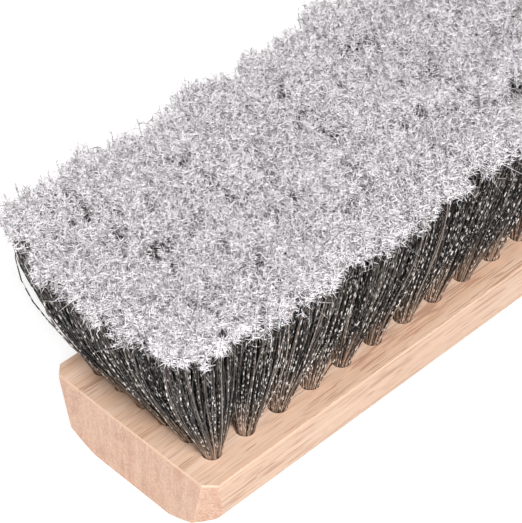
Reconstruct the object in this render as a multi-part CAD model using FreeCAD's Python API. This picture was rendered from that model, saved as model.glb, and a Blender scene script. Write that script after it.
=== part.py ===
import FreeCAD, Part
import math
import os

# Clothes brush: a plain wooden block with a grid of blind holes in its tuft face.
# Each hole holds one tuft of fine filaments, folded over a flat wire anchor whose
# two ends bite into the wood. The brush lies on its back, tufts up.
#
# Frame: origin at the middle of the flat back, +X along the length and the wood
# grain, +Y across the width, +Z from the back towards the tufts. Millimetres.

# ---- block -------------------------------------------------------------------
block_length = 200.0
block_width = 62.0
block_thickness = 21.2
side_height = 13.2            # upright part of each long side, down from the tuft face
back_bevel_width = 16.3       # how far the sloped back edge reaches in from the side
back_bevel_bulge = 0.6        # how far that slope swells beyond a straight line
side_blend_radius = 5.0       # rounding where the upright side turns into the slope
corner_cut_top = 3.2          # corner cut at the tuft face, along both edges
corner_cut_end_back = 8.2     # the same cut at the back, along the end
corner_cut_side_back = 5.4    # and along the long side
arris_break = 0.4             # small chamfer round the tuft face

# ---- tuft holes --------------------------------------------------------------
row_count = 16                # crosswise rows of tufts, along the length
tufts_per_row = 6
end_margin = 10.0             # block end to the first row's hole centres
side_margin = 9.75            # block side to the outer hole centres
hole_diameter = 5.4
hole_depth = 13.0

# ---- anchors -----------------------------------------------------------------
anchor_thickness = 0.3        # flat wire, set on edge
anchor_height = 1.6
anchor_bite = 0.6             # how far each end stands into the hole's wall
anchor_lift = 1.5             # wire above the hole's floor, room for the fold
anchor_clearance = 0.03       # round the wire, in wood and in hair

# ---- tufts -------------------------------------------------------------------
tuft_clearance = 0.1          # between a bundle and its hole, all round
tuft_gap = 0.4                # between neighbouring tufts above the block
tuft_height = 61.0            # hair length that stands above the tuft face
fan_height = 16.0             # height at which a tuft has opened out to its neighbours
end_overhang = 20.0           # tips beyond the block's end
side_overhang = 10.0          # tips beyond the block's long side
flare_reach = 1.0             # rows over which the outward lean dies away (factor e)
bundle_corner = 0.9           # corner radius of a bundle in its hole, of its half width
cell_corner = 0.42            # corner radius of an opened tuft, of its half width

# ---- worked out from the above -----------------------------------------------
row_pitch = (block_length - 2 * end_margin) / (row_count - 1)
cross_pitch = (block_width - 2 * side_margin) / (tufts_per_row - 1)
tuft_face = block_thickness
hole_floor = tuft_face - hole_depth
bundle_half = hole_diameter / 2 - tuft_clearance
end_flare = end_overhang + end_margin - row_pitch / 2
side_flare = side_overhang + side_margin - cross_pitch / 2


def save(shape, node):
    """Write one node's shape and stop if it is not sound."""
    if not shape.isValid():
        raise ValueError(node + " is not a valid shape")
    shape.exportStep("parts/" + node + ".step")


def centred(index, count, pitch):
    """Place of one hole centre in a row of them about the middle."""
    return (index - (count - 1) / 2) * pitch


# ---- block -------------------------------------------------------------------
def block_section():
    """Cross-section of the block, with its soft-sloped back edges."""
    x = -block_length / 2
    half = block_width / 2
    flat = half - back_bevel_width
    slope_top = tuft_face - side_height
    slope_length = math.hypot(back_bevel_width, slope_top)
    # middle of the slope, pushed out square to it by the bulge
    mid_y = half - back_bevel_width / 2 + back_bevel_bulge * slope_top / slope_length
    mid_z = slope_top / 2 - back_bevel_bulge * back_bevel_width / slope_length

    def at(y, z):
        return FreeCAD.Vector(x, y, z)

    edges = [
        Part.makeLine(at(-flat, 0), at(flat, 0)),
        Part.Arc(at(flat, 0), at(mid_y, mid_z), at(half, slope_top)).toShape(),
        Part.makeLine(at(half, slope_top), at(half, tuft_face)),
        Part.makeLine(at(half, tuft_face), at(-half, tuft_face)),
        Part.makeLine(at(-half, tuft_face), at(-half, slope_top)),
        Part.Arc(at(-half, slope_top), at(-mid_y, mid_z), at(-flat, 0)).toShape(),
    ]
    return Part.Face(Part.Wire(edges))


def corner_wedge(end_sign, side_sign):
    """Waste wood at one corner: the cut starts small at the tuft face and widens to the back."""
    spare = 1.0
    x = end_sign * block_length / 2
    y = side_sign * block_width / 2

    def triangle(along_side, along_end, z):
        outer = FreeCAD.Vector(x + end_sign * spare, y + side_sign * spare, z)
        on_side = FreeCAD.Vector(x - end_sign * along_side, y + side_sign * spare, z)
        on_end = FreeCAD.Vector(x + end_sign * spare, y - side_sign * along_end, z)
        return Part.makePolygon([outer, on_side, on_end, outer])

    top = triangle(corner_cut_top + spare, corner_cut_top + spare, tuft_face)
    back = triangle(corner_cut_side_back + spare, corner_cut_end_back + spare, 0)
    return Part.makeLoft([back, top], True, True)


def side_edges(solid):
    """The four-sided block's two long edges where the upright side meets the slope."""
    level = tuft_face - side_height
    found = []
    for edge in solid.Edges:
        ends = [vertex.Point for vertex in edge.Vertexes]
        if len(ends) == 2 and all(abs(p.z - level) < 0.001 for p in ends):
            if all(abs(abs(p.y) - block_width / 2) < 0.001 for p in ends):
                found.append(edge)
    return found


def face_edges(solid):
    """The edges round the tuft face."""
    found = []
    for edge in solid.Edges:
        if all(abs(vertex.Point.z - tuft_face) < 0.001 for vertex in edge.Vertexes):
            found.append(edge)
    return found


def make_block():
    solid = block_section().extrude(FreeCAD.Vector(block_length, 0, 0))
    solid = solid.makeFillet(side_blend_radius, side_edges(solid))
    wedges = [corner_wedge(end, side) for end in (-1, 1) for side in (-1, 1)]
    solid = solid.cut(wedges).Solids[0]
    solid = solid.makeChamfer(arris_break, face_edges(solid))
    holes = []
    for row in range(row_count):
        for place in range(tufts_per_row):
            x = centred(row, row_count, row_pitch)
            y = centred(place, tufts_per_row, cross_pitch)
            base = FreeCAD.Vector(x, y, hole_floor)
            holes.append(Part.makeCylinder(hole_diameter / 2, hole_depth + 1, base))
            holes.append(make_anchor(x, y, anchor_clearance))
    return solid.cut(holes).Solids[0]


# ---- anchors -----------------------------------------------------------------
def make_anchor(x, y, grow):
    """One flat wire anchor, or with grow the pocket that it sits in."""
    length = hole_diameter + 2 * anchor_bite + 2 * grow
    thickness = anchor_thickness + 2 * grow
    height = anchor_height + 2 * grow
    corner = FreeCAD.Vector(x - length / 2, y - thickness / 2, hole_floor + anchor_lift - grow)
    return Part.makeBox(length, thickness, height, corner)


# ---- tufts -------------------------------------------------------------------
def lean(boundary, count, flare):
    """Outward lean at the tips of the line between two rows, counted from one side."""
    return flare * (math.exp(-(count - boundary) / flare_reach) - math.exp(-boundary / flare_reach))


def cell(index, count, pitch, flare, share):
    """Middle and half width of one tuft's room, at a share of the full lean."""
    low = centred(index, count, pitch) - pitch / 2 + share * lean(index, count, flare)
    high = centred(index, count, pitch) + pitch / 2 + share * lean(index + 1, count, flare)
    return (low + high) / 2, (high - low - tuft_gap) / 2


def rounded_section(x, y, z, half_x, half_y, radius):
    """Closed outline of four straight sides and four round corners at one height."""
    inner_x = half_x - radius
    inner_y = half_y - radius
    slant = radius * math.sqrt(0.5)
    edges = []
    for sx, sy in ((1, 1), (-1, 1), (-1, -1), (1, -1)):
        centre = FreeCAD.Vector(x + sx * inner_x, y + sy * inner_y, z)
        on_x = centre + FreeCAD.Vector(sx * radius, 0, 0)
        on_y = centre + FreeCAD.Vector(0, sy * radius, 0)
        middle = centre + FreeCAD.Vector(sx * slant, sy * slant, 0)
        start, stop = (on_x, on_y) if sx * sy > 0 else (on_y, on_x)
        edges.append((start, middle, stop))
    outline = []
    for turn, (start, middle, stop) in enumerate(edges):
        outline.append(Part.Arc(start, middle, stop).toShape())
        outline.append(Part.makeLine(stop, edges[(turn + 1) % 4][0]))
    return Part.Wire(outline)


def tip_height(row, place):
    """Hair of one length stands lower where it leans outward."""
    tip_x, half_x = cell(row, row_count, row_pitch, end_flare, 1)
    tip_y, half_y = cell(place, tufts_per_row, cross_pitch, side_flare, 1)
    lean_x = tip_x - centred(row, row_count, row_pitch)
    lean_y = tip_y - centred(place, tufts_per_row, cross_pitch)
    return math.sqrt(tuft_height ** 2 - lean_x ** 2 - lean_y ** 2)


def make_tuft(row, place):
    """One tuft: a bundle in its hole that opens out to its neighbours and leans with them."""
    x = centred(row, row_count, row_pitch)
    y = centred(place, tufts_per_row, cross_pitch)
    height = tip_height(row, place)
    half = bundle_half - (math.sqrt(2) - 1) * (1 - bundle_corner) * bundle_half
    foot = rounded_section(x, y, hole_floor + tuft_clearance, half, half, bundle_corner * half)
    mouth = rounded_section(x, y, tuft_face, half, half, bundle_corner * half)
    sections = [foot, mouth]
    for share, level in ((fan_height / height, fan_height), (1, height)):
        mid_x, half_x = cell(row, row_count, row_pitch, end_flare, share)
        mid_y, half_y = cell(place, tufts_per_row, cross_pitch, side_flare, share)
        radius = cell_corner * 2 * min(half_x, half_y)
        sections.append(rounded_section(mid_x, mid_y, tuft_face + level, half_x, half_y, radius))
    tuft = Part.makeLoft(sections, True, True)
    return tuft.cut(make_anchor(x, y, anchor_clearance)).Solids[0]


# ---- write every node --------------------------------------------------------
os.makedirs("parts", exist_ok=True)
save(make_block(), "block")
for row in range(row_count):
    number = "%02d" % (row + 1)
    tufts = [make_tuft(row, place) for place in range(tufts_per_row)]
    save(Part.makeCompound(tufts), "tuft_row_" + number)
    row_x = centred(row, row_count, row_pitch)
    anchors = [make_anchor(row_x, centred(place, tufts_per_row, cross_pitch), 0)
               for place in range(tufts_per_row)]
    save(Part.makeCompound(anchors), "anchor_row_" + number)
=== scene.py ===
import math
from functools import partial

import bpy
from bpy.props import (FloatProperty, FloatVectorProperty, IntProperty, PointerProperty,
                       StringProperty)
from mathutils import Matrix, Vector


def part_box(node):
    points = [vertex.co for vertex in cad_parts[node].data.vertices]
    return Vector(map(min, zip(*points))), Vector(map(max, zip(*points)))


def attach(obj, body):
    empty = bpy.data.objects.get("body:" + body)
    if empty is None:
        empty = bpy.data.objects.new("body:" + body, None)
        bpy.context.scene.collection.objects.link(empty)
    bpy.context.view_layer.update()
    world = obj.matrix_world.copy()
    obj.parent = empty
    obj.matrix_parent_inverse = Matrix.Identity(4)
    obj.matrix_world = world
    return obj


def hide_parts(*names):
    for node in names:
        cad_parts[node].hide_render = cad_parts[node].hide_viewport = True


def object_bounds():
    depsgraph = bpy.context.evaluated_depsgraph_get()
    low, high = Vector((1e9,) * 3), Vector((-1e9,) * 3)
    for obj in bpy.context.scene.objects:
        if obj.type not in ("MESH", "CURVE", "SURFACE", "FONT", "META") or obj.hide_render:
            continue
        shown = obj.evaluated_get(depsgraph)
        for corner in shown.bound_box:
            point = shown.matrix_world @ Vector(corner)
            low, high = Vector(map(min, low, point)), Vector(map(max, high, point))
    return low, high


bl_info = {
    "name": "Clothes brush finish",
    "version": (1, 0, 0),
    "blender": (4, 5, 0),
    "location": "View3D > Sidebar > Brush",
    "description": "Finishes the wood of a clothes brush, grows its hair and sets up the studio",
    "category": "Object",
}

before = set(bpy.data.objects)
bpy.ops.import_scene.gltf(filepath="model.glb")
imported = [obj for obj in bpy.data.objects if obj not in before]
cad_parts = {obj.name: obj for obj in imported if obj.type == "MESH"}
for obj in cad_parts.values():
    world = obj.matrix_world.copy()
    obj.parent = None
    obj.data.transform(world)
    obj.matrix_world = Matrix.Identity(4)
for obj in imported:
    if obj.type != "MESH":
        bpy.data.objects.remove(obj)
CAD_LOW, CAD_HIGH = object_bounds()

MM = 0.001
BODY = "root"
BAKE_MAP = "OFBake"
SHAFT_SHARE = 0.9      # how much of the hair's map, root to tip, the shaft takes
SPLIT_SHARE = 0.08     # how much of it the split ends take
SPLIT_GAP = 0.02       # how much of it is left free between the two
TUFTS_PER_ROW = 6
ROW_NUMBERS = sorted(name[-2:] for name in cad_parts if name.startswith("tuft_row_"))
TUFT_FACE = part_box("block")[1].z
HAIR_LENGTH = CAD_HIGH[2] - TUFT_FACE


# ---- sizes and colours a user would change ---------------------------------------------------

class BlockFinish(bpy.types.PropertyGroup):
    """Look of the wooden block"""
    pore_length: FloatProperty(
        name="Pore length", description="Length of one dark pore line along the grain, drawn long "
        "enough to show",
        default=11.0 * MM, unit="LENGTH")
    pore_width: FloatProperty(
        name="Pore width", description="Width of a pore line, drawn wide enough to show",
        default=0.24 * MM, unit="LENGTH")
    patch_length: FloatProperty(
        name="Patch length", description="Length of a patch where pores gather",
        default=26.0 * MM, unit="LENGTH")
    patch_width: FloatProperty(
        name="Patch width", description="Width of a patch where pores gather",
        default=6.0 * MM, unit="LENGTH")
    fibre_length: FloatProperty(
        name="Fibre length", description="Length of the lighter and darker fibres",
        default=60.0 * MM, unit="LENGTH")
    fibre_width: FloatProperty(
        name="Fibre width", description="Width of the fibres, drawn wide enough to show",
        default=0.9 * MM, unit="LENGTH")
    ring_length: FloatProperty(
        name="Ring depth", description="How far into the ends one growth ring stays the same",
        default=40.0 * MM, unit="LENGTH")
    ring_width: FloatProperty(
        name="Ring width", description="Width of the growth rings on the ends",
        default=1.8 * MM, unit="LENGTH")
    ring_height: FloatProperty(
        name="Ring height", description="Height of one stretch of a growth ring",
        default=16.0 * MM, unit="LENGTH")
    band_length: FloatProperty(
        name="Band length", description="Length of the faint growth bands",
        default=150.0 * MM, unit="LENGTH")
    band_width: FloatProperty(
        name="Band width", description="Width of the faint growth bands",
        default=4.0 * MM, unit="LENGTH")
    long_grain: StringProperty(
        name="Long grain colour", description="Planed beech along the grain", default="D7BAA5")
    dark_grain: StringProperty(
        name="Dark band colour", description="Darker growth band", default="CAA68C")
    end_grain: StringProperty(
        name="End grain colour", description="Sawn ends, which look pinker", default="C6A48F")
    end_ring: StringProperty(
        name="End ring colour", description="Pinker growth rings on the sawn ends",
        default="BE9780")
    pore: StringProperty(
        name="Pore colour", description="Open pores and rays", default="8A5A40")
    # painted shade: the long sides are drawn darker than the tuft face, standing in for less light
    # falling on them
    side_shade: FloatProperty(
        name="Side tone", description="How dark the long sides are beside the tuft face",
        default=0.85, subtype="FACTOR")
    # painted shade: the chamfer is drawn in this darker colour to take down the light it catches
    edge: StringProperty(
        name="Edge colour", description="Small sanded chamfer round the tuft face",
        default="CDAE97")


class AnchorFinish(bpy.types.PropertyGroup):
    """Look of the wire anchors"""
    dull: StringProperty(
        name="Dull colour", description="Darkest lines in the drawn wire", default="8E8E8A")
    bright: StringProperty(
        name="Bright colour", description="Brightest lines in the drawn wire", default="C4C4BF")
    line_length: FloatProperty(
        name="Line length", description="Length of one drawn line along the wire",
        default=MM / 0.3, unit="LENGTH")
    line_width: FloatProperty(
        name="Line width", description="Width of one drawn line", default=MM / 9,
        unit="LENGTH")


class TuftSizes(bpy.types.PropertyGroup):
    """Sizes of the hair in one tuft"""
    edge_hairs: IntProperty(
        name="Hairs, edge tuft", description="Hairs drawn in each tuft at the brush's edge",
        default=200, min=10)
    inner_hairs: IntProperty(
        name="Hairs, inner tuft", description="Hairs drawn in each tuft inside the brush",
        default=140, min=10)
    thickness: FloatProperty(
        name="Hair thickness", description="Diameter of a hair near its root, drawn wide enough "
        "to show", default=0.5 * MM, unit="LENGTH")
    bundle_radius: FloatProperty(
        name="Bundle radius", description="Radius of the hair where it leaves its hole",
        default=2.4 * MM, unit="LENGTH")
    opening: FloatProperty(
        name="Opening", description="How soon a bundle opens out to its neighbours",
        default=2.8, min=1.0)
    overlap: FloatProperty(
        name="Overlap", description="Room that the tips take, as a share of the tuft's own room",
        default=1.0, min=0.1)
    stray: FloatProperty(
        name="Stray", description="How far a tip strays from its even place",
        default=1.5 * MM, unit="LENGTH")
    uneven: FloatProperty(
        name="Uneven length", description="Share by which hair lengths differ",
        default=0.045, subtype="FACTOR")
    dome: FloatProperty(
        name="Dome", description="How much lower the outer tips of one tuft stand",
        default=1.2 * MM, unit="LENGTH")
    tuft_uneven: FloatProperty(
        name="Uneven tufts", description="How much whole tufts differ",
        default=2.3 * MM, unit="LENGTH")
    hang_uneven: FloatProperty(
        name="Uneven hang", description="Share by which tufts differ in how far their split ends "
        "hang", default=0.5, subtype="FACTOR")
    end_inset: FloatProperty(
        name="End inset", description="How far inside the outline the shafts stop at the ends",
        default=4.5 * MM, unit="LENGTH")
    side_inset: FloatProperty(
        name="Side inset", description="How far inside the outline the shafts stop at the sides",
        default=1.5 * MM, unit="LENGTH")
    carpet_corner: FloatProperty(
        name="Corner of the tips", description="Radius of the corners that all tips make together",
        default=21.0 * MM, unit="LENGTH")
    wobble: FloatProperty(
        name="Wobble", description="Sideways wander along one hair",
        default=0.9 * MM, unit="LENGTH")
    fine_steps: IntProperty(
        name="Steps, edge hair", description="Straight steps in a hair of the edge tufts",
        default=8, min=2)
    plain_steps: IntProperty(
        name="Steps, inner hair", description="Straight steps in a hair of the inner tufts",
        default=3, min=2)
    splits: IntProperty(
        name="Split ends", description="Fine ends that an inner hair's tip splits into",
        default=17, min=1)
    split_reach: FloatProperty(
        name="Split reach", description="How far below the tip a hair starts to split",
        default=5.5 * MM, unit="LENGTH")
    split_length: FloatProperty(
        name="Split length", description="Longest split end", default=3.0 * MM, unit="LENGTH")
    split_thickness: FloatProperty(
        name="Split thickness", description="Thickness of a split end at its base",
        default=0.28 * MM, unit="LENGTH")
    split_spread: FloatProperty(
        name="Split spread", description="How far split ends turn away from the hair",
        default=1.5, min=0.0)
    loose_share: FloatProperty(
        name="Loose ends", description="Share of edge hairs with a long curled loose end",
        default=0.13, subtype="FACTOR")
    loose_length: FloatProperty(
        name="Loose end length", description="Longest loose end", default=4.5 * MM,
        unit="LENGTH")
    seed: IntProperty(name="Seed", description="Fixes every random draw", default=7)


class HairFinish(bpy.types.PropertyGroup):
    """Colours of the hair, with its painted highlights"""
    root: StringProperty(
        name="Root colour", description="Darkest brown by the wood", default="1C1411")
    # partly the hair's own brown, partly painted warm light off the wood
    light_root: StringProperty(
        name="Light root colour", description="Lightest brown by the wood", default="B79A85")
    shaft: StringProperty(name="Shaft colour", description="Near black", default="0E0D0F")
    light_shaft: StringProperty(
        name="Light shaft colour", description="Paler hairs among the dark", default="9A8C83")
    # painted highlight: warm light off the wood on the hair's lower part
    root_glint: StringProperty(
        name="Root glint", description="Light on the hair by the wood", default="E3CFC0")
    # painted highlight: colour drawn on the crimp's crests where they would catch the light
    glint: StringProperty(
        name="Crimp glint", description="Light on the crests of the crimp", default="FFF8F2")
    tip: StringProperty(name="Tip colour", description="Pale split ends", default="FCF8FB")
    # spacing of the painted highlights along a hair
    glint_pitch: FloatProperty(
        name="Crimp pitch", description="Usual distance between two crests of the crimp, drawn "
        "longer than real so that it shows",
        default=3.0 * MM, unit="LENGTH")


class StudioSettings(bpy.types.PropertyGroup):
    """Camera, floor and light"""
    floor: StringProperty(name="Floor colour", description="Plain pale floor", default="C4C4C4")
    floor_dark: StringProperty(
        name="Dark floor colour", description="Darker fibres in the floor's paper",
        default="C0C0C0")
    fibre: FloatProperty(
        name="Fibre size", description="Size of the fibres in the floor's paper",
        default=MM / 0.9, unit="LENGTH")
    floor_glow: FloatProperty(
        name="Floor glow", description="Light that the floor gives, as if lit from below",
        default=0.62)
    heading: FloatProperty(
        name="Heading", description="Direction from the brush to the camera, from +X",
        default=math.radians(225.66), subtype="ANGLE")
    elevation: FloatProperty(
        name="Elevation", description="The camera's angle above the floor",
        default=math.radians(42.81), subtype="ANGLE")
    distance: FloatProperty(
        name="Distance", description="Camera to the point it looks at",
        default=679.1 * MM, unit="LENGTH")
    lens: FloatProperty(name="Lens", description="Focal length in millimetres", default=166.7)
    aim: FloatVectorProperty(
        name="Aim", description="Point that the camera looks at",
        default=(-30.0 * MM, 21.95 * MM, 21.2 * MM), subtype="XYZ")
    sky: FloatProperty(
        name="Sky", description="Strength of the even light from all round", default=0.33)
    key: FloatProperty(
        name="Key", description="Power of the soft light high in front, in watts", default=21.6)
    fill: FloatProperty(
        name="Fill", description="Power of the low soft light beside the near end, in watts",
        default=1.5)
    top: FloatProperty(
        name="Top", description="Power of the soft light behind and above, in watts",
        default=3.0)


# ---- node trees ------------------------------------------------------------------------------

MATHS = "ShaderNodeMath"
VECTOR = "ShaderNodeVectorMath"
AXIS = "ShaderNodeSeparateXYZ"
POINT = "ShaderNodeCombineXYZ"
RANGE = "ShaderNodeMapRange"      # a value, the two ends it comes from, the two it goes to
NOISE = "ShaderNodeTexNoise"
FLAT = (1.0, 1.0, 0.0)            # leaves a vector no height


def colour(code):
    """An sRGB hex colour as the linear values that shaders take."""
    channels = []
    for start in (0, 2, 4):
        value = int(code[start:start + 2], 16) / 255
        channels.append(value / 12.92 if value <= 0.04045 else ((value + 0.055) / 1.055) ** 2.4)
    return (*channels, 1.0)


def socket(sockets, key):
    """A node's socket by its number or its identifier."""
    if isinstance(key, int):
        return sockets[key]
    return next(one for one in sockets if one.identifier == key)


def add(tree, kind, *values, pick=0, **settings):
    """Adds a node with its settings and links, and gives back one of its outputs. Values fill
    its inputs in order, or one dictionary names them. A list is several links to one input."""
    node = tree.nodes.new(kind)
    for name, value in settings.items():
        setattr(node, name, value)
    named = values and isinstance(values[0], dict)
    for key, value in (values[0] if named else dict(enumerate(values))).items():
        for one in value if isinstance(value, list) else [value]:
            if isinstance(one, bpy.types.NodeSocket):
                tree.links.new(one, socket(node.inputs, key))
            else:
                socket(node.inputs, key).default_value = one
    return socket(node.outputs, pick) if len(node.outputs) else None


def combined(tree, kind, operation, *values):
    """Works any number of values into one, such as their sum or product."""
    result = values[0]
    for value in values[1:]:
        result = add(tree, kind, result, value, operation=operation)
    return result


def layered(tree, shade, *layers):
    """Lays colours over a first one, each by its own share."""
    for share, over in layers:
        shade = add(tree, "ShaderNodeMix", {
            "Factor_Float": share, "A_Color": shade, "B_Color": over},
            pick="Result_Color", data_type="RGBA")
    return shade


def new_material(name, roughness, ior=None, metallic=0.0):
    """A material with its plain values set, its node tree and its shader."""
    material = bpy.data.materials.new(name)
    material.use_nodes = True
    shader = material.node_tree.nodes["Principled BSDF"]
    shader.inputs["Roughness"].default_value = roughness
    shader.inputs["Metallic"].default_value = metallic
    if ior:
        shader.inputs["IOR"].default_value = ior
    return material, material.node_tree, shader


# ---- materials -------------------------------------------------------------------------------

# wood: the values of a noise at which its marks start and are full
BANDS_SHOW = (0.36, 0.66)
RINGS_SHOW = (0.4, 0.62)
TONES_SHOW = (0.35, 0.65)
PORES_SHOW = (0.96, 1.0)
FLECKS_SHOW = (0.61, 0.64)
# wood: how squarely a face looks that way where a finish, or the painted shade of the long sides
# and the chamfer, starts and is full
ENDWAYS = (0.45, 0.85)
SHADED_SIDES_FACING = (0.3, 0.9)
SHADED_CHAMFER_TILT = (0.9, 0.8)
CHAMFER_DEPTH = 0.5 * MM
CHAMFER_BLUR = 0.1 * MM
FIBRE_TONES = (0.93, 1.03)     # darkest and lightest, against the ground
SAWN_TONES = (0.9, 1.1)
PATCHINESS = 0.7               # how much pores gather in patches
FLECK_STRENGTH = 0.4           # against a pore's
PORE_STRENGTH = (0.5, 0.3)     # along the grain and on the sawn ends
# strength of the painted shade on the chamfer
CHAMFER_SHADE_STRENGTH = 0.7
PORE_DEPTH = 0.1 * MM

# hair: heights above the wood as shares of the hair's length, from and to
# brown by the wood: partly the hair's own colour, partly painted warm light off the wood
BROWN_AND_WOOD_LIGHT_FADES = (0.02, 0.34)
TIP_PALES = (0.94, 1.02)
# hair: painted highlights on the crimp's crests, drawn into the hair's colour
GLINT_WHITENS = (0.05, 0.35)
GLINT_GROWS = (0.0, 0.25)
GLINT_FADES = (0.8, 0.92)
ROOT_GLINT = (0.75, 0.9)       # strength of the glints by the wood and above
GLINT_CRESTS_SHOW = (0.52, 0.6)      # values of the crimp's noise, as for the wood
GLINT_PATCHES_SHOW = (0.4, 0.5)
HAIRS_SHOW = (0.3, 0.5)        # hairs' own numbers from no glints to full ones
PATCH_TURNS = 40.0             # patches with and without glints along a hair
GLINT_CREST_RANGE = 1.6              # most crests a hair has, against the fewest
PALE_RARITY = 5.0              # the higher, the fewer pale hairs
# split ends drawn dark as painted shade between the pale tips
SHADED_SPLITS = 0.4              # share of split ends that are dull
DARKEST_SPLIT_SHADE = 0.05
# hair: what a hair's number is multiplied by for each thing drawn for it
HAIR_DRAWS = {
    "paler": 443.0, "brown": 331.0, "dull": 997.0, "crests": 577.0, "glints": 811.0,
    "crest start": 311.0, "patch start": 733.0,
}
LINES_SHOW = (0.3, 0.7)        # values of the noise of drawn wire and of paper


def beech_planed(finish):
    """Planed and sanded beech, with no lacquer: a dry satin surface with short open pores along
    the grain, faint growth bands, pinker sawn ends, and painted shade on the long sides and on the
    small chamfer."""
    material, tree, shader = new_material("beech_planed", 0.55, ior=1.45)
    node = partial(add, tree)
    place = node("ShaderNodeTexCoord", pick="Object")
    facing = node("ShaderNodeTexCoord", pick="Normal")
    height = node(AXIS, place, pick="Z")
    upward = node(AXIS, facing, pick="Z")
    endways = node(MATHS, node(AXIS, facing, pick="X"), operation="ABSOLUTE")
    sideways = node(MATHS, node(AXIS, facing, pick="Y"), operation="ABSOLUTE")
    end_face = node(RANGE, endways, *ENDWAYS)

    def grain(length, width, high, detail):
        """Noise whose marks are this long along the grain, this wide and this high."""
        space = node(VECTOR, place, (1 / length, 1 / width, 1 / high), operation="MULTIPLY")
        return node(NOISE, {"Vector": space, "Scale": 1.0, "Detail": detail, "Roughness": 0.6})

    # growth bands along the block, rings on its ends
    bands = grain(finish.band_length, finish.band_width, 3 * finish.band_width, 4.0)
    bands = node(RANGE, bands, *BANDS_SHOW)
    rings = grain(finish.ring_length, finish.ring_width, finish.ring_height, 3.0)
    rings = node(RANGE, rings, *RINGS_SHOW)
    ends = layered(tree, colour(finish.end_grain), (rings, colour(finish.end_ring)))
    wood = layered(tree, colour(finish.long_grain), (bands, colour(finish.dark_grain)),
                   (end_face, ends))

    # lighter and darker fibres, the speckle of the saw on the ends, and painted shade that darkens
    # the long sides
    fibres = grain(finish.fibre_length, finish.fibre_width, finish.fibre_width, 3.0)
    speckle = grain(finish.fibre_width, finish.fibre_width, finish.fibre_width, 2.0)
    speckle = node(RANGE, speckle, *TONES_SHOW, *SAWN_TONES)
    for tone in (
            node(RANGE, fibres, *TONES_SHOW, *FIBRE_TONES),
            node("ShaderNodeMix", {"Factor_Float": end_face, "A_Float": 1.0, "B_Float": speckle},
                 pick="Result_Float"),
            node(RANGE, sideways, *SHADED_SIDES_FACING, 1.0, finish.side_shade)):
        wood = node(VECTOR, {0: wood, "Scale": tone}, operation="SCALE")

    # pores: lines along the grain that gather in patches, only dots where they are cut across
    width = 2 * finish.pore_width
    pores = grain(finish.pore_length, width, width, 1.0)
    patches = grain(finish.patch_length, finish.patch_width, finish.patch_width, 1.0)
    gathered = node(MATHS, patches, PATCHINESS, pores, operation="MULTIPLY_ADD")
    gathered = node(RANGE, gathered, *PORES_SHOW)
    flecks = grain(0.7 * finish.pore_length, width, width, 0.0)
    flecks = node(RANGE, flecks, *FLECKS_SHOW, 0.0, FLECK_STRENGTH)
    marks = node(MATHS, gathered, flecks, operation="MAXIMUM")
    strength = node(RANGE, end_face, 0.0, 1.0, *PORE_STRENGTH)
    marks = node(MATHS, marks, strength, operation="MULTIPLY")

    # painted shade: the small chamfer round the tuft face is drawn darker than the wood, to take
    # down the light it catches
    lowest = TUFT_FACE - CHAMFER_DEPTH
    chamfer = node(MATHS, node(RANGE, height, lowest, lowest + CHAMFER_BLUR),
                   node(RANGE, upward, *SHADED_CHAMFER_TILT, 0.0, CHAMFER_SHADE_STRENGTH), operation="MULTIPLY")
    wood = layered(tree, wood, (marks, colour(finish.pore)), (chamfer, colour(finish.edge)))
    tree.links.new(wood, shader.inputs["Base Color"])
    bump = node("ShaderNodeBump", {
        "Height": node(MATHS, gathered, -1.0, operation="MULTIPLY"), "Strength": 0.3,
        "Distance": PORE_DEPTH})
    tree.links.new(bump, shader.inputs["Normal"])
    return material


def steel_drawn(finish):
    """Drawn steel wire rolled flat: fine bright lines along the wire."""
    material, tree, shader = new_material("anchor_wire_drawn_steel", 0.35, metallic=1.0)
    node = partial(add, tree)
    place = node("ShaderNodeTexCoord", pick="Object")
    along = 1 / finish.line_length
    across = 1 / finish.line_width
    drawn = node(VECTOR, place, (along, across, across), operation="MULTIPLY")
    lines = node(RANGE, node(NOISE, {"Vector": drawn, "Scale": 1.0}), *LINES_SHOW)
    shade = layered(tree, colour(finish.dull), (lines, colour(finish.bright)))
    tree.links.new(shade, shader.inputs["Base Color"])
    return material


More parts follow.
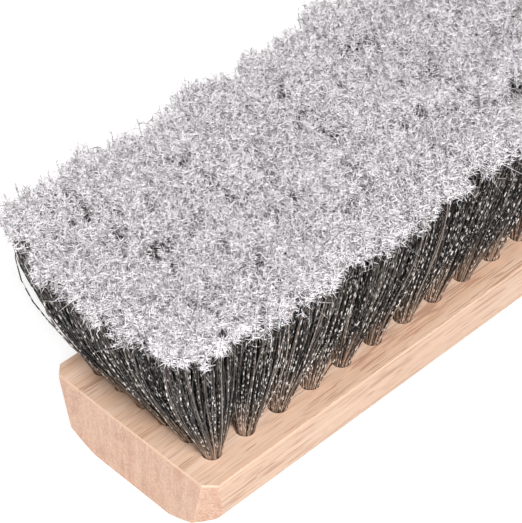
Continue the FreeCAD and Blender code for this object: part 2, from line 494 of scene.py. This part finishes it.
def horsehair_crimped(finish, hair_reach):
    """Crimped dark horsehair with flagged tips: near black, with painted highlights on the crests
    of its crimp, brown by the wood, partly from painted warm light off it, pale where the tips are
    split, some split ends painted dark as shade."""
    material, tree, shader = new_material("horsehair_crimped_flagged", 0.5, ior=1.55)
    shader.inputs["Specular IOR Level"].default_value = 0.2
    node = partial(add, tree)
    hair_map = node("ShaderNodeUVMap", uv_map=BAKE_MAP)
    which = node(AXIS, hair_map, pick="X")
    along = node(AXIS, hair_map, pick="Y")

    def draw(thing):
        """A number from 0 to 1 that is the hair's own."""
        return node("ShaderNodeTexWhiteNoise", {
            "W": node(MATHS, which, HAIR_DRAWS[thing], operation="MULTIPLY")},
            noise_dimensions="1D")

    def waves(turns, thing, detail):
        """Uneven waves along a hair, out of step with those of its neighbours."""
        own_start = node(MATHS, which, HAIR_DRAWS[thing], operation="MULTIPLY")
        return node(NOISE, {
            "W": node(MATHS, along, turns, own_start, operation="MULTIPLY_ADD"), "Scale": 1.0,
            "Detail": detail}, noise_dimensions="1D")

    def climb(heights, *values):
        """What goes from one value to another between two heights above the wood."""
        sunk = hair_reach - HAIR_LENGTH
        places = [SHAFT_SHARE * (sunk + one * HAIR_LENGTH) / hair_reach for one in heights]
        return node(RANGE, along, *places, *values)

    # a few paler hairs among the dark; brown by the wood, partly the hair's own colour and partly
    # painted warm light off the wood; pale tips
    paler = node(MATHS, draw("paler"), PALE_RARITY, operation="POWER")
    shaft = layered(tree, colour(finish.shaft), (paler, colour(finish.light_shaft)))
    brown = layered(tree, colour(finish.root), (draw("brown"), colour(finish.light_root)))
    body = layered(tree, shaft, (climb(BROWN_AND_WOOD_LIGHT_FADES, 1.0, 0.0), brown),
                   (climb(TIP_PALES), colour(finish.tip)))

    # painted shade: some split ends are drawn dark, standing in for the shade between the pale
    # tips
    level = node("ShaderNodeMix", {
        "Factor_Float": node(MATHS, along, SHAFT_SHARE + SPLIT_GAP / 2, operation="GREATER_THAN"),
        "A_Float": 1.0, "B_Float": node(RANGE, draw("dull"), 0.0, SHADED_SPLITS, DARKEST_SPLIT_SHADE, 1.0)},
        pick="Result_Float")
    body = node(VECTOR, {0: body, "Scale": level}, operation="SCALE")

    # painted highlights: the crests of the crimp are drawn lit on some hairs, in some places, and
    # not near the tips
    crests = hair_reach / finish.glint_pitch / SHAFT_SHARE
    own_crests = node(RANGE, draw("crests"), 0.0, 1.0, crests, GLINT_CREST_RANGE * crests)
    share = combined(
        tree, MATHS, "MULTIPLY",
        node(RANGE, waves(own_crests, "crest start", 0.0), *GLINT_CRESTS_SHOW),
        node(RANGE, waves(PATCH_TURNS, "patch start", 1.0), *GLINT_PATCHES_SHOW),
        climb(GLINT_GROWS, *ROOT_GLINT), climb(GLINT_FADES, 1.0, 0.0),
        node(RANGE, draw("glints"), *HAIRS_SHOW))
    glint = layered(tree, colour(finish.root_glint), (
        climb(GLINT_WHITENS), colour(finish.glint)))
    tree.links.new(layered(tree, body, (share, glint)), shader.inputs["Base Color"])
    return material


def floor_paper(finish):
    """White seamless paper under the brush: matt, with faint fibres."""
    material, tree, shader = new_material("studio_paper_white", 0.9)
    node = partial(add, tree)
    place = node("ShaderNodeTexCoord", pick="Object")
    fibres = node(NOISE, {"Vector": place, "Scale": 1 / finish.fibre})
    shade = layered(tree, colour(finish.floor_dark), (
        node(RANGE, fibres, *LINES_SHOW), colour(finish.floor)))
    tree.links.new(shade, shader.inputs["Base Color"])
    shader.inputs["Emission Color"].default_value = colour("FFFFFF")
    shader.inputs["Emission Strength"].default_value = finish.floor_glow
    return material


# ---- hair ------------------------------------------------------------------------------------

HAIR_INPUTS = {
    "Thickness": "Float", "Bundle radius": "Float", "Sunk": "Float", "Opening": "Float",
    "Overlap": "Float", "Stray": "Float", "Uneven": "Float", "Dome": "Float",
    "Tuft uneven": "Float", "Hang uneven": "Float", "Tips half size": "Vector",
    "Tips corner": "Float", "Wobble": "Float", "Fine steps": "Int", "Plain steps": "Int",
    "Split reach": "Float", "Split length": "Float", "Split thickness": "Float",
    "Split spread": "Float", "Loose share": "Float", "Loose length": "Float", "Seed": "Int",
    "Material": "Material",
}
# what is kept on the points and hairs while they grow
KEPT = {
    "lean": "FLOAT_VECTOR",      # hole to tip, for the whole tuft
    "cell": "FLOAT_VECTOR",      # half of the tuft's room at the wood
    "room": "FLOAT_VECTOR",      # half of its room at the tips
    "edge": "BOOLEAN",
    "hairs": "INT",
    "splits": "INT",
    "hang": "FLOAT",             # how far below the tips its hairs start to split
    "root": "FLOAT_VECTOR",      # a hair's place in the hole
    "near": "FLOAT_VECTOR",      # its place where the bundle has opened out
    "far": "FLOAT_VECTOR",       # from there to its tip
    "wander": "FLOAT_VECTOR",
    "bow": "FLOAT",
    "phase": "FLOAT",
    "bend": "FLOAT",
    "own": "FLOAT",              # which hair it is, from 0 to 1
    "section": "FLOAT_VECTOR",   # place on the plain rod or spike
    "hidden": "FLOAT",           # share of the rod that stays in the hole
    "along": "FLOAT",            # root to tip on the hair's map
}
# random draws: the number added to the seed, the lowest and the highest
DRAWS = {
    "turn": (1, 0.0, 2 * math.pi),
    "out": (2, 0.0, 1.0),
    "stray": (3, (-1.0, -1.0, 0.0), (1.0, 1.0, 0.0)),
    "length": (4, -1.0, 0.25),
    "wander": (5, (-1.0, -1.0, 0.0), (1.0, 1.0, 0.0)),
    "phase": (7, 0.0, 2 * math.pi),
    "bend": (8, 3.0, 10.0),
    "hair": (9, 0.02, 0.98),
    "split place": (11, 0.0, 1.0),
    "split swing": (12, (-1.0, -1.0, -1.0), (1.0, 1.0, 0.3)),
    "split length": (13, 0.4, 1.0),
    "loose": (14, 0.0, 1.0),
    "loose place": (15, 0.0, 1.0),
    "loose swing": (16, (-0.7, -0.7, -0.5), (0.7, 0.7, 0.5)),
    "loose spin": (17, 0.0, 2 * math.pi),
    "loose length": (18, 0.4, 1.0),
    "tuft lean": (20, (-0.6, -0.6, -1.0), (0.6, 0.6, 0.6)),
    "split end": (21, 0.02, 0.98),
    "further": (22, 0.0, 1.0),
    "tuft hang": (23, -1.0, 1.0),
    "bow": (24, 0.0, 1.0),
}
SQUARE_PUSH = 0.5        # 0 leaves a bundle round at its tips, 1 makes it square
STRAY_RARITY = 12.0      # the higher, the fewer hairs stray far
STRAY_FURTHER = 1.8      # how much further the furthest hair strays
BOW_RARITY = 6.0         # the higher, the fewer hairs bow out
BOW_REACH = 2.0          # how far the most bowed hair bows, against its lean
SLIMMING = 0.8           # how much thinner a hair is at its tip
SLIM_POWER = 5.0         # how near the tip it gets thinner
HIGHEST_SPLIT = 0.2 * MM     # below the tip
LOOSE_HANG = 2.2         # how far down loose ends start, against the split ends
LOOSE_WAY = (2.0, 2.0, -0.4)     # turns a hair's own way outwards and down
LOOSE_RADIUS = 0.024     # at the base, against the length
LOOSE_STEPS = 5
CURL = 1.5               # how far a loose end curls aside, against its length
CROWDING = 0.3           # how much tips that spread over more room split further
WIRE_THICKNESS = 0.3 * MM
TINY = 0.001 * MM        # keeps a division from a length of nothing


def centred(index, count, pitch):
    """Place of one hole centre in a row of them about the middle."""
    return (index - (count - 1) / 2) * pitch


def lean(boundary, count, flare):
    """Outward lean at the tips of the line between two rows, counted from one side. It dies
    away by the factor e from row to row."""
    return flare * (math.exp(-(count - boundary)) - math.exp(-boundary))


def cell(index, count, pitch, flare):
    """Middle and half width of one tuft's room at the tips."""
    low = centred(index, count, pitch) - pitch / 2 + lean(index, count, flare)
    high = centred(index, count, pitch) + pitch / 2 + lean(index + 1, count, flare)
    return (low + high) / 2, (high - low) / 2


def tuft_plan(row, sizes):
    """One point for each hole of a row, with what its tuft needs: how it leans, its room at the
    wood and at the tips, and how many hairs and split ends it has. Holes are at their anchors."""
    count = len(ROW_NUMBERS)
    wire_low, wire_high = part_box("anchor_row_" + ROW_NUMBERS[0])
    last_low, last_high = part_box("anchor_row_" + ROW_NUMBERS[-1])
    first_x = (wire_low.x + wire_high.x) / 2
    last_x = (last_low.x + last_high.x) / 2
    row_pitch = (last_x - first_x) / (count - 1)
    cross_pitch = (wire_high.y - wire_low.y - WIRE_THICKNESS) / (TUFTS_PER_ROW - 1)
    end_flare = first_x - row_pitch / 2 - CAD_LOW[0] - sizes.end_inset
    side_flare = -(TUFTS_PER_ROW / 2) * cross_pitch - CAD_LOW[1] - sizes.side_inset
    places = []
    plan = {"lean": [], "cell": [], "room": [], "edge": [], "hairs": [], "splits": []}
    for place in range(TUFTS_PER_ROW):
        x = centred(row, count, row_pitch)
        y = centred(place, TUFTS_PER_ROW, cross_pitch)
        tip_x, half_x = cell(row, count, row_pitch, end_flare)
        tip_y, half_y = cell(place, TUFTS_PER_ROW, cross_pitch, side_flare)
        at_edge = row in (0, count - 1) or place in (0, TUFTS_PER_ROW - 1)
        share = 4 * half_x * half_y / (row_pitch * cross_pitch)
        places.append((x, y, TUFT_FACE))
        plan["lean"] += [tip_x - x, tip_y - y, HAIR_LENGTH]
        plan["cell"] += [row_pitch / 2, cross_pitch / 2, 0.0]
        plan["room"] += [half_x, half_y, 0.0]
        plan["edge"].append(at_edge)
        plan["hairs"].append(sizes.edge_hairs if at_edge else sizes.inner_hairs)
        plan["splits"].append(round(sizes.splits * share ** CROWDING))
    mesh = bpy.data.meshes.new("holes")
    mesh.from_pydata(places, [], [])
    for label, values in plan.items():
        field = "vector" if KEPT[label] == "FLOAT_VECTOR" else "value"
        mesh.attributes.new(label, KEPT[label], "POINT").data.foreach_set(field, values)
    return mesh


def hair_tree():
    """Geometry Nodes: one point for each hole becomes a tuft of hairs with split ends."""
    tree = bpy.data.node_groups.new("tuft_growth", "GeometryNodeTree")
    face = tree.interface
    face.new_socket("Geometry", in_out="INPUT", socket_type="NodeSocketGeometry")
    for label, kind in HAIR_INPUTS.items():
        face.new_socket(label, in_out="INPUT", socket_type="NodeSocket" + kind)
    face.new_socket("Geometry", in_out="OUTPUT", socket_type="NodeSocketGeometry")
    given = {one.name: one for one in tree.nodes.new("NodeGroupInput").outputs}
    node = partial(add, tree)
    chain = partial(combined, tree)
    position = node("GeometryNodeInputPosition")
    kept = {}
    for label, kind in KEPT.items():
        kept[label] = node("GeometryNodeInputNamedAttribute", label, data_type=kind)
    drawn = {}
    for label, (number, low, high) in DRAWS.items():
        kind = "FLOAT_VECTOR" if isinstance(low, tuple) else "FLOAT"
        tail = "" if isinstance(low, tuple) else "_001"
        drawn[label] = node("FunctionNodeRandomValue", {
            "Min" + tail: low, "Max" + tail: high,
            "Seed": node(MATHS, given["Seed"], number, operation="ADD")},
            data_type=kind, pick="Value" + tail)

    def keep(geometry, **values):
        """Keeps values under their names on the points of a geometry."""
        for label, value in values.items():
            geometry = node("GeometryNodeStoreNamedAttribute", {
                "Geometry": geometry, "Name": label, "Value": value}, data_type=KEPT[label])
        return geometry

    def scaled(value, *factors):
        """A vector times any number of numbers."""
        return node(VECTOR, {0: value, "Scale": chain(MATHS, "MULTIPLY", *factors)},
                    operation="SCALE")

    # whole tufts differ a little
    holes = node("GeometryNodeMeshToPoints", {"Mesh": given["Geometry"]})
    hang = node(MATHS, drawn["tuft hang"], given["Hang uneven"], 1.0, operation="MULTIPLY_ADD")
    holes = keep(
        holes,
        lean=chain(VECTOR, "ADD", kept["lean"], scaled(drawn["tuft lean"], given["Tuft uneven"])),
        hang=chain(MATHS, "MULTIPLY", given["Split reach"], hang))

    # one point for each hair: its root in the hole, its place by the wood and at the tips
    hairs = node("GeometryNodeDuplicateElements", {
        "Geometry": holes, "Amount": kept["hairs"]}, domain="POINT")
    out = node(MATHS, drawn["out"], operation="SQRT")
    cosine = node(MATHS, drawn["turn"], operation="COSINE")
    sine = node(MATHS, drawn["turn"], operation="SINE")
    disc = scaled(node(POINT, cosine, sine, 0.0), out)
    # a disc pushed part of the way out to a square fills the room between neighbours
    widest = chain(MATHS, "MAXIMUM", node(MATHS, cosine, operation="ABSOLUTE"),
                   node(MATHS, sine, operation="ABSOLUTE"))
    square = scaled(disc, given["Overlap"], node(MATHS, widest, -SQUARE_PUSH, operation="POWER"))
    # a few hairs stray much further than the rest
    further = node(MATHS, node(MATHS, drawn["further"], STRAY_RARITY, operation="POWER"),
                   STRAY_FURTHER, 1.0, operation="MULTIPLY_ADD")
    drop = chain(MATHS, "MULTIPLY", out, out, given["Dome"], -1.0)
    grown = node(MATHS, given["Uneven"], drawn["length"], 1.0, operation="MULTIPLY_ADD")
    wider = chain(VECTOR, "SUBTRACT", kept["room"], kept["cell"])
    hairs = keep(
        hairs, root=scaled(disc, given["Bundle radius"]),
        near=chain(VECTOR, "MULTIPLY", square, kept["cell"]),
        far=chain(VECTOR, "ADD",
                  chain(VECTOR, "MULTIPLY", kept["lean"], node(POINT, 1.0, 1.0, grown)),
                  scaled(drawn["stray"], given["Stray"], further),
                  chain(VECTOR, "MULTIPLY", square, wider), node(POINT, 0.0, 0.0, drop)))

    # all tips together make a rectangle with round corners: those past one are pulled in
    tip = chain(VECTOR, "ADD", position, kept["near"], kept["far"])
    corner = chain(VECTOR, "SUBTRACT", given["Tips half size"],
                   node(POINT, given["Tips corner"], given["Tips corner"], 0.0))
    past = chain(VECTOR, "SUBTRACT", node(VECTOR, tip, operation="ABSOLUTE"), corner)
    past = chain(VECTOR, "MULTIPLY", chain(VECTOR, "MAXIMUM", past, (0.0, 0.0, 0.0)), FLAT)
    longest = chain(MATHS, "MAXIMUM", node(AXIS, past, pick="X"), node(AXIS, past, pick="Y"))
    length = chain(MATHS, "MAXIMUM", node(VECTOR, past, pick="Value", operation="LENGTH"), TINY)
    inward = chain(MATHS, "SUBTRACT", chain(MATHS, "DIVIDE", longest, length), 1.0)
    is_past = node(MATHS, longest, 0.0, operation="GREATER_THAN")
    outward = chain(VECTOR, "MULTIPLY", past, node(VECTOR, tip, operation="SIGN"))
    # a few outer hairs bow out of the bundle
    bow = chain(MATHS, "MULTIPLY", BOW_REACH,
                node(MATHS, drawn["bow"], BOW_RARITY, operation="POWER"))
    hairs = keep(
        hairs, far=chain(VECTOR, "ADD", kept["far"], scaled(outward, inward, is_past)),
        wander=scaled(drawn["wander"], given["Wobble"], further), bow=bow,
        phase=drawn["phase"], bend=drawn["bend"], own=drawn["hair"])

    # a three-sided closed rod for each hair; its first step stays in the hole
    rods = []
    inner = node("FunctionNodeBooleanMath", kept["edge"], operation="NOT")
    for steps, chosen in (("Fine steps", kept["edge"]), ("Plain steps", inner)):
        rod = node("GeometryNodeMeshCylinder", {
            "Vertices": 3, "Side Segments": given[steps], "Radius": 1.0, "Depth": 1.0})
        rod = keep(rod, section=position, hidden=chain(MATHS, "DIVIDE", 1.0, given[steps]))
        rods.append(node("GeometryNodeInstanceOnPoints", {
            "Points": hairs, "Selection": chosen, "Instance": rod}))
    joined = node("GeometryNodeJoinGeometry", {0: rods})
    shafts = node("GeometryNodeRealizeInstances", {"Geometry": joined})

    # how far up the hair a point of the rod is, and how deep in the hole
    step = chain(MATHS, "ADD", node(AXIS, kept["section"], pick="Z"), 0.5)
    above = chain(MATHS, "DIVIDE", chain(MATHS, "SUBTRACT", step, kept["hidden"]),
                  chain(MATHS, "SUBTRACT", 1.0, kept["hidden"]))
    risen = chain(MATHS, "MAXIMUM", above, 0.0)
    below = chain(MATHS, "SUBTRACT", 1.0, chain(MATHS, "DIVIDE", step, kept["hidden"]))
    depth = chain(MATHS, "MULTIPLY", chain(MATHS, "MAXIMUM", below, 0.0), given["Sunk"])
    to_go = chain(MATHS, "SUBTRACT", 1.0, risen)

    # the bundle opens out, each hair sways, a few bow, and all get thinner by the tip
    opened = chain(MATHS, "SUBTRACT", 1.0, chain(MATHS, "POWER", to_go, given["Opening"]))
    spread = node("ShaderNodeMix", {
        "Factor_Float": opened, "A_Vector": kept["root"], "B_Vector": kept["near"]},
        pick="Result_Vector", data_type="VECTOR")
    swing = node(MATHS, risen, kept["bend"], kept["phase"], operation="MULTIPLY_ADD")
    sway = node(MATHS, swing, operation="SINE")
    slimmer = chain(MATHS, "POWER", risen, SLIM_POWER)
    slim = node(MATHS, slimmer, -SLIMMING, 1.0, operation="MULTIPLY_ADD")
    ring = scaled(chain(VECTOR, "MULTIPLY", kept["section"], FLAT), given["Thickness"], 0.5, slim)
    aside = chain(VECTOR, "MULTIPLY", kept["far"], FLAT)
    placed = chain(
        VECTOR, "ADD", chain(VECTOR, "SUBTRACT", position, kept["section"]), spread,
        scaled(kept["far"], risen), scaled(kept["wander"], risen, sway),
        scaled(aside, kept["bow"], risen, risen, to_go), ring,
        node(POINT, 0.0, 0.0, chain(MATHS, "MULTIPLY", depth, -1.0)))
    shafts = node("GeometryNodeSetPosition", {"Geometry": shafts, "Position": placed})
    tall = node(AXIS, kept["far"], pick="Z")
    passed = node(MATHS, risen, tall, given["Sunk"], operation="MULTIPLY_ADD")
    reached = chain(MATHS, "DIVIDE", chain(MATHS, "SUBTRACT", passed, depth),
                    chain(MATHS, "ADD", tall, given["Sunk"]))
    shafts = keep(shafts, along=chain(MATHS, "MULTIPLY", reached, SHAFT_SHARE))

    # split ends: thin closed spikes that leave each hair below its end
    last_sway = node(MATHS, chain(MATHS, "ADD", kept["phase"], kept["bend"]), operation="SINE")
    tip = chain(VECTOR, "ADD", kept["far"], kept["near"], scaled(kept["wander"], last_sway))
    heading = node(VECTOR, kept["far"], operation="NORMALIZE")

    def on_hair(points, share, lowest, highest):
        """Moves points from the hole to their hair, a random way below its end."""
        back = node(RANGE, share, 0.0, 1.0, lowest, highest)
        return node("GeometryNodeSetPosition", {
            "Geometry": points,
            "Offset": chain(VECTOR, "SUBTRACT", tip, scaled(heading, back))})

    ends = node("GeometryNodeDuplicateElements", {
        "Geometry": hairs, "Amount": kept["splits"]}, domain="POINT")
    ends = keep(ends, own=drawn["split end"])
    ends = on_hair(ends, drawn["split place"], kept["hang"], HIGHEST_SPLIT)
    way = chain(VECTOR, "ADD", heading, scaled(drawn["split swing"], given["Split spread"]))
    spike = node("GeometryNodeMeshCone", {
        "Vertices": 3, "Radius Top": 0.0, "Radius Bottom": 1.0, "Depth": 1.0})
    spike = keep(spike, section=position)
    half = chain(MATHS, "MULTIPLY", given["Split thickness"], 0.5)
    size = node(POINT, half, half,
                chain(MATHS, "MULTIPLY", given["Split length"], drawn["split length"]))
    splits = node("GeometryNodeInstanceOnPoints", {
        "Points": ends, "Instance": spike, "Scale": size,
        "Rotation": node("FunctionNodeAlignRotationToVector", {"Vector": way}, axis="Z")})
    splits = node("GeometryNodeRealizeInstances", {"Geometry": splits})

    # loose ends: longer curled hairs that hang out of the edge
    curl = node("GeometryNodeMeshCone", {
        "Vertices": 3, "Side Segments": LOOSE_STEPS, "Radius Top": LOOSE_RADIUS / 2,
        "Radius Bottom": LOOSE_RADIUS, "Depth": 1.0})
    curl = keep(curl, section=position)
    rise = node(AXIS, position, pick="Z")
    curl = node("GeometryNodeSetPosition", {
        "Geometry": curl,
        "Offset": node(POINT, chain(MATHS, "MULTIPLY", CURL, rise, rise), 0.0, 0.0)})
    few = node(MATHS, drawn["loose"], given["Loose share"], operation="LESS_THAN")
    loose = on_hair(hairs, drawn["loose place"],
                    chain(MATHS, "MULTIPLY", given["Split reach"], LOOSE_HANG), 0.0)
    way = chain(VECTOR, "ADD", chain(VECTOR, "MULTIPLY", heading, LOOSE_WAY),
                drawn["loose swing"])
    aligned = node("FunctionNodeAlignRotationToVector", {"Vector": way}, axis="Z")
    spin = node("FunctionNodeEulerToRotation", node(POINT, 0.0, 0.0, drawn["loose spin"]))
    size = chain(MATHS, "MULTIPLY", given["Loose length"], drawn["loose length"])
    loose = node("GeometryNodeInstanceOnPoints", {
        "Points": loose, "Selection": chain(MATHS, "MULTIPLY", kept["edge"], few),
        "Instance": curl, "Scale": node(POINT, size, size, size),
        "Rotation": node("FunctionNodeRotateRotation", {
            "Rotation": aligned, "Rotate By": spin}, rotation_space="LOCAL")})
    loose = node("GeometryNodeRealizeInstances", {"Geometry": loose})
    pale = node("GeometryNodeJoinGeometry", {0: [splits, loose]})
    pale = keep(pale, along=node(
        MATHS, node(AXIS, kept["section"], pick="Z"), SPLIT_SHARE, SHAFT_SHARE + SPLIT_GAP,
        operation="MULTIPLY_ADD"))

    # the hair's own map: one column for each hair, root to tip
    both = node("GeometryNodeJoinGeometry", {0: [shafts, pale]})
    both = node("GeometryNodeStoreNamedAttribute", {
        "Geometry": both, "Name": BAKE_MAP,
        "Value": node(POINT, kept["own"], kept["along"], 0.0)},
        data_type="FLOAT2", domain="CORNER")
    both = node("GeometryNodeSetShadeSmooth", {"Geometry": both})
    both = node("GeometryNodeRealizeInstances", {"Geometry": both})
    both = node("GeometryNodeSetMaterial", {"Geometry": both, "Material": given["Material"]})
    node("NodeGroupOutput", both)
    return tree


def grow_row(context, tree, values, row):
    """One row of tufts as a plain mesh."""
    number = ROW_NUMBERS[row]
    piece = bpy.data.objects.new("hair_row_" + number,
                                 tuft_plan(row, context.scene.brush_tufts))
    context.scene.collection.objects.link(piece)
    modifier = piece.modifiers.new("growth", "NODES")
    modifier.node_group = tree
    values["Seed"] = context.scene.brush_tufts.seed + 100 * row
    for item in tree.interface.items_tree:
        if item.in_out == "INPUT" and item.name in values:
            modifier[item.identifier] = values[item.name]
    shaped = piece.evaluated_get(context.evaluated_depsgraph_get())
    mesh = bpy.data.meshes.new_from_object(shaped)
    piece.modifiers.remove(modifier)
    piece.data = mesh
    mesh.name = piece.name
    if not mesh.polygons:
        raise RuntimeError("no hair grew in row " + number)
    for label in KEPT:
        if label in mesh.attributes:
            mesh.attributes.remove(mesh.attributes[label])
    return piece


# ---- operators -------------------------------------------------------------------------------

ROOT_GAP = 0.2 * MM      # from the hair's lowest point to its anchor
FLOOR_HALF = 2.0         # half of the floor's side, in metres
SENSOR_WIDTH = 36.0      # in millimetres, as the lens is
# each soft light: the side of its square and where it stands, in metres
LIGHTS = {
    "key": (0.35, (-0.51, -0.73, 0.95)),
    "fill": (0.7, (-0.95, -0.45, 0.5)),
    "top": (1.0, (0.2, 0.5, 1.0)),
}


class BRUSH_OT_block(bpy.types.Operator):
    """Give the wooden block its finish"""
    bl_idname = "brush.finish_block"
    bl_label = "Finish block"

    def execute(self, context):
        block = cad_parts["block"]
        block.data.materials.clear()
        block.data.materials.append(beech_planed(context.scene.brush_block))
        return {"FINISHED"}


class BRUSH_OT_anchors(bpy.types.Operator):
    """Give the wire anchors their finish"""
    bl_idname = "brush.finish_anchors"
    bl_label = "Finish anchors"

    def execute(self, context):
        wire = steel_drawn(context.scene.brush_anchors)
        for number in ROW_NUMBERS:
            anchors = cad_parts["anchor_row_" + number]
            anchors.data.materials.clear()
            anchors.data.materials.append(wire)
        return {"FINISHED"}


class BRUSH_OT_hair(bpy.types.Operator):
    """Grow the tufts, each row in place of its plain row"""
    bl_idname = "brush.grow_hair"
    bl_label = "Grow hair"

    def execute(self, context):
        sizes = context.scene.brush_tufts
        anchor_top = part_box("anchor_row_" + ROW_NUMBERS[0])[1].z
        sunk = TUFT_FACE - anchor_top - ROOT_GAP
        values = {
            "Thickness": sizes.thickness, "Bundle radius": sizes.bundle_radius, "Sunk": sunk,
            "Opening": sizes.opening, "Overlap": sizes.overlap, "Stray": sizes.stray,
            "Uneven": sizes.uneven, "Dome": sizes.dome, "Tuft uneven": sizes.tuft_uneven,
            "Hang uneven": sizes.hang_uneven,
            "Tips half size": (CAD_HIGH[0], CAD_HIGH[1], 1.0),
            "Tips corner": sizes.carpet_corner, "Wobble": sizes.wobble,
            "Fine steps": sizes.fine_steps, "Plain steps": sizes.plain_steps,
            "Split reach": sizes.split_reach, "Split length": sizes.split_length,
            "Split thickness": sizes.split_thickness, "Split spread": sizes.split_spread,
            "Loose share": sizes.loose_share, "Loose length": sizes.loose_length,
            "Material": horsehair_crimped(context.scene.brush_hair, HAIR_LENGTH + sunk),
        }
        tree = hair_tree()
        for row, number in enumerate(ROW_NUMBERS):
            piece = grow_row(context, tree, values, row)
            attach(piece, BODY)
            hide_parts("tuft_row_" + number)
        return {"FINISHED"}


class BRUSH_OT_studio(bpy.types.Operator):
    """Set up the floor, the soft light and the camera"""
    bl_idname = "brush.set_studio"
    bl_label = "Set up studio"

    def execute(self, context):
        settings = context.scene.brush_studio
        scene = context.scene
        corners = [(x * FLOOR_HALF, y * FLOOR_HALF, 0.0) for x, y in (
            (-1, -1), (1, -1), (1, 1), (-1, 1))]
        mesh = bpy.data.meshes.new("floor")
        mesh.from_pydata(corners, [], [(0, 1, 2, 3)])
        mesh.materials.append(floor_paper(settings))
        floor = bpy.data.objects.new("floor", mesh)
        scene.collection.objects.link(floor)

        world = bpy.data.worlds.new("studio")
        world.use_nodes = True
        background = world.node_tree.nodes["Background"]
        background.inputs["Color"].default_value = colour("FFFFFF")
        background.inputs["Strength"].default_value = settings.sky
        scene.world = world

        for name, (size, spot) in LIGHTS.items():
            lamp = bpy.data.lights.new(name, "AREA")
            lamp.shape = "SQUARE"
            lamp.size = size
            lamp.energy = getattr(settings, name)
            light = bpy.data.objects.new(name, lamp)
            light.location = spot
            light.rotation_euler = (-light.location).to_track_quat("-Z", "Y").to_euler()
            scene.collection.objects.link(light)

        flat = math.cos(settings.elevation)
        aim = Vector(settings.aim)
        toward = Vector((flat * math.cos(settings.heading), flat * math.sin(settings.heading),
                         math.sin(settings.elevation)))
        lens = bpy.data.cameras.new("camera")
        lens.sensor_fit = "HORIZONTAL"
        lens.sensor_width = SENSOR_WIDTH
        lens.lens = settings.lens
        camera = bpy.data.objects.new("camera", lens)
        camera.location = aim + settings.distance * toward
        camera.rotation_euler = (-toward).to_track_quat("-Z", "Y").to_euler()
        scene.collection.objects.link(camera)
        scene.camera = camera
        scene.view_settings.view_transform = "Standard"
        return {"FINISHED"}


class BRUSH_PT_panel(bpy.types.Panel):
    """Lists the steps in the 3D view's sidebar"""
    bl_label = "Clothes brush"
    bl_idname = "BRUSH_PT_panel"
    bl_space_type = "VIEW_3D"
    bl_region_type = "UI"
    bl_category = "Brush"

    def draw(self, context):
        for operator, settings in STEPS.items():
            self.layout.operator(operator.bl_idname)
            for label in settings:
                group = getattr(context.scene, label)
                for name in group.bl_rna.properties.keys():
                    if name not in ("name", "rna_type"):
                        self.layout.prop(group, name)


STEPS = {
    BRUSH_OT_block: ("brush_block",),
    BRUSH_OT_anchors: ("brush_anchors",),
    BRUSH_OT_hair: ("brush_tufts", "brush_hair"),
    BRUSH_OT_studio: ("brush_studio",),
}
GROUPS = {
    "brush_block": BlockFinish,
    "brush_anchors": AnchorFinish,
    "brush_tufts": TuftSizes,
    "brush_hair": HairFinish,
    "brush_studio": StudioSettings,
}
CLASSES = (*GROUPS.values(), *STEPS, BRUSH_PT_panel)


def register():
    for each in CLASSES:
        bpy.utils.register_class(each)
    for name, group in GROUPS.items():
        setattr(bpy.types.Scene, name, PointerProperty(type=group))


def unregister():
    for name in GROUPS:
        delattr(bpy.types.Scene, name)
    for each in reversed(CLASSES):
        bpy.utils.unregister_class(each)


def main():
    register()
    bpy.ops.brush.finish_block()
    bpy.ops.brush.finish_anchors()
    bpy.ops.brush.grow_hair()
    bpy.ops.brush.set_studio()


if __name__ == "__main__":
    main()
